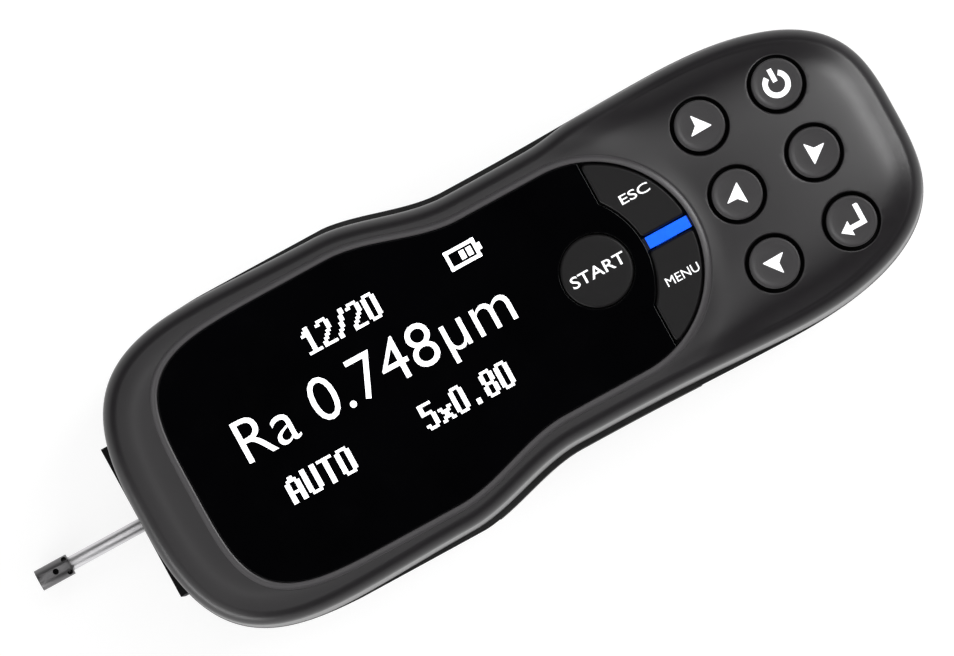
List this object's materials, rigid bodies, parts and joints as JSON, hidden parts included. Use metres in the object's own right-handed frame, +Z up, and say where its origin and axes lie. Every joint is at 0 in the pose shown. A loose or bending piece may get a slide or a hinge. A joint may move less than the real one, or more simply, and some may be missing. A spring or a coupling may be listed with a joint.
{
  "type": "surface roughness tester",
  "caption": "Handheld surface roughness tester with a waisted grey and black case, dark display window, keypad, and a motor-driven skidded stylus pickup reaching out of the nose.",
  "frame": {"origin": "on the table under the middle of the whole tester, pickup included", "axes": "+X from the pickup tip to the tail, +Y to the left seen from the tail, +Z up out of the display"},
  "size_m": [0.16, 0.056, 0.0484],
  "materials": {
    "shell_grey": "moulded dark grey plastic, fine satin texture",
    "case_black": "moulded black plastic, fine texture",
    "lens_black": "polished smoked window",
    "guide_blue": "lit blue light guide",
    "rubber_black": "soft black rubber",
    "key_grey": "moulded grey key caps",
    "key_dark": "moulded dark key caps",
    "mark_white": "white printed marks and lit readings",
    "screw_steel": "plated machine screws",
    "brass": "turned brass",
    "board_green": "green solder mask",
    "component_black": "moulded black components",
    "led_white": "white lamp body",
    "panel_glass": "dark display glass",
    "socket_steel": "stamped steel socket",
    "battery_wrap": "blue shrink wrap",
    "frame_alloy": "milled aluminium",
    "rod_steel": "ground steel",
    "gear_nylon": "natural nylon",
    "tip_steel": "grey steel nosepiece",
    "coil_copper": "wound copper",
    "diamond": "diamond tip"
  },
  "bodies": {
    "case": {"top_shell": "shell_grey", "bottom_shell": "case_black", "front_plate": "case_black", "display_lens": "lens_black", "light_guide": "guide_blue", "left_grip": "rubber_black", "right_grip": "rubber_black", "rubber_feet": "rubber_black", "plate_screws": "screw_steel", "case_screws": "screw_steel", "board_screws": "screw_steel", "frame_screws": "screw_steel", "screw_inserts": "brass", "screw_bushes": "brass", "gear_head": "brass", "main_board": "board_green", "key_switches": "component_black", "board_chips": "component_black", "display_carrier": "component_black", "status_led": "led_white", "display_panel": "panel_glass", "charge_socket": "socket_steel", "battery_pack": "battery_wrap", "drive_frame": "frame_alloy", "guide_rods": "rod_steel", "drive_motor": "rod_steel"},
    "screw": {"drive_screw": "rod_steel", "screw_gear": "gear_nylon"},
    "pinion": {"motor_shaft": "rod_steel", "motor_pinion": "brass"},
    "traverse": {"carriage": "frame_alloy", "carriage_bushes": "brass", "drive_nut": "brass", "pickup_barrel": "frame_alloy", "contact_plug": "component_black", "pickup_tube": "rod_steel", "nosepiece": "tip_steel", "sensing_coil": "coil_copper", "pivot_pin": "rod_steel"},
    "stylus": {"stylus_lever": "rod_steel", "stylus_tip": "diamond"},
    "up_key": {"up_key": "key_grey"},
    "down_key": {"down_key": "key_grey"},
    "left_key": {"left_key": "key_grey"},
    "right_key": {"right_key": "key_grey"},
    "power_key": {"power_key": "key_grey"},
    "enter_key": {"enter_key": "key_grey"},
    "start_key": {"start_key": "key_dark"},
    "escape_key": {"escape_key": "key_dark"},
    "menu_key": {"menu_key": "key_dark"}
  },
  "joints": [
    {"name": "up_press", "type": "slide", "parent": "case", "child": "up_key", "axis": [0, 0, -1], "range_m": [0, 0.0008], "stiffness_N_per_m": 400},
    {"name": "down_press", "type": "slide", "parent": "case", "child": "down_key", "axis": [0, 0, -1], "range_m": [0, 0.0008], "stiffness_N_per_m": 400},
    {"name": "left_press", "type": "slide", "parent": "case", "child": "left_key", "axis": [0, 0, -1], "range_m": [0, 0.0008], "stiffness_N_per_m": 400},
    {"name": "right_press", "type": "slide", "parent": "case", "child": "right_key", "axis": [0, 0, -1], "range_m": [0, 0.0008], "stiffness_N_per_m": 400},
    {"name": "power_press", "type": "slide", "parent": "case", "child": "power_key", "axis": [0, 0, -1], "range_m": [0, 0.0008], "stiffness_N_per_m": 400},
    {"name": "enter_press", "type": "slide", "parent": "case", "child": "enter_key", "axis": [0, 0, -1], "range_m": [0, 0.0008], "stiffness_N_per_m": 400},
    {"name": "start_press", "type": "slide", "parent": "case", "child": "start_key", "axis": [0, 0, -1], "range_m": [0, 0.0008], "stiffness_N_per_m": 400},
    {"name": "escape_press", "type": "slide", "parent": "case", "child": "escape_key", "axis": [0, 0, -1], "range_m": [0, 0.0008], "stiffness_N_per_m": 400},
    {"name": "menu_press", "type": "slide", "parent": "case", "child": "menu_key", "axis": [0, 0, -1], "range_m": [0, 0.0008], "stiffness_N_per_m": 400},
    {"name": "screw_spin", "type": "hinge", "parent": "case", "child": "screw", "pos_m": [0, 0, 0.0165], "axis": [1, 0, 0], "range_deg": [-1, 1801]},
    {"name": "motor_spin", "type": "hinge", "parent": "case", "child": "pinion", "pos_m": [0, 0.0096, 0.0165], "axis": [1, 0, 0], "range_deg": [-3601, 1]},
    {"name": "pickup_traverse", "type": "slide", "parent": "case", "child": "traverse", "axis": [1, 0, 0], "range_m": [0, 0.0125]},
    {"name": "stylus_pivot", "type": "hinge", "parent": "traverse", "child": "stylus", "pos_m": [-0.046, 0, 0.009], "axis": [0, 1, 0], "range_deg": [-0.35, 0.35], "stiffness_Nm_per_rad": 0.002}
  ],
  "couplings": [
    {"joint": "screw_spin", "follows": "pickup_traverse", "rad_per_m": 2513.3},
    {"joint": "motor_spin", "follows": "pickup_traverse", "rad_per_m": -5026.5}
  ]
}
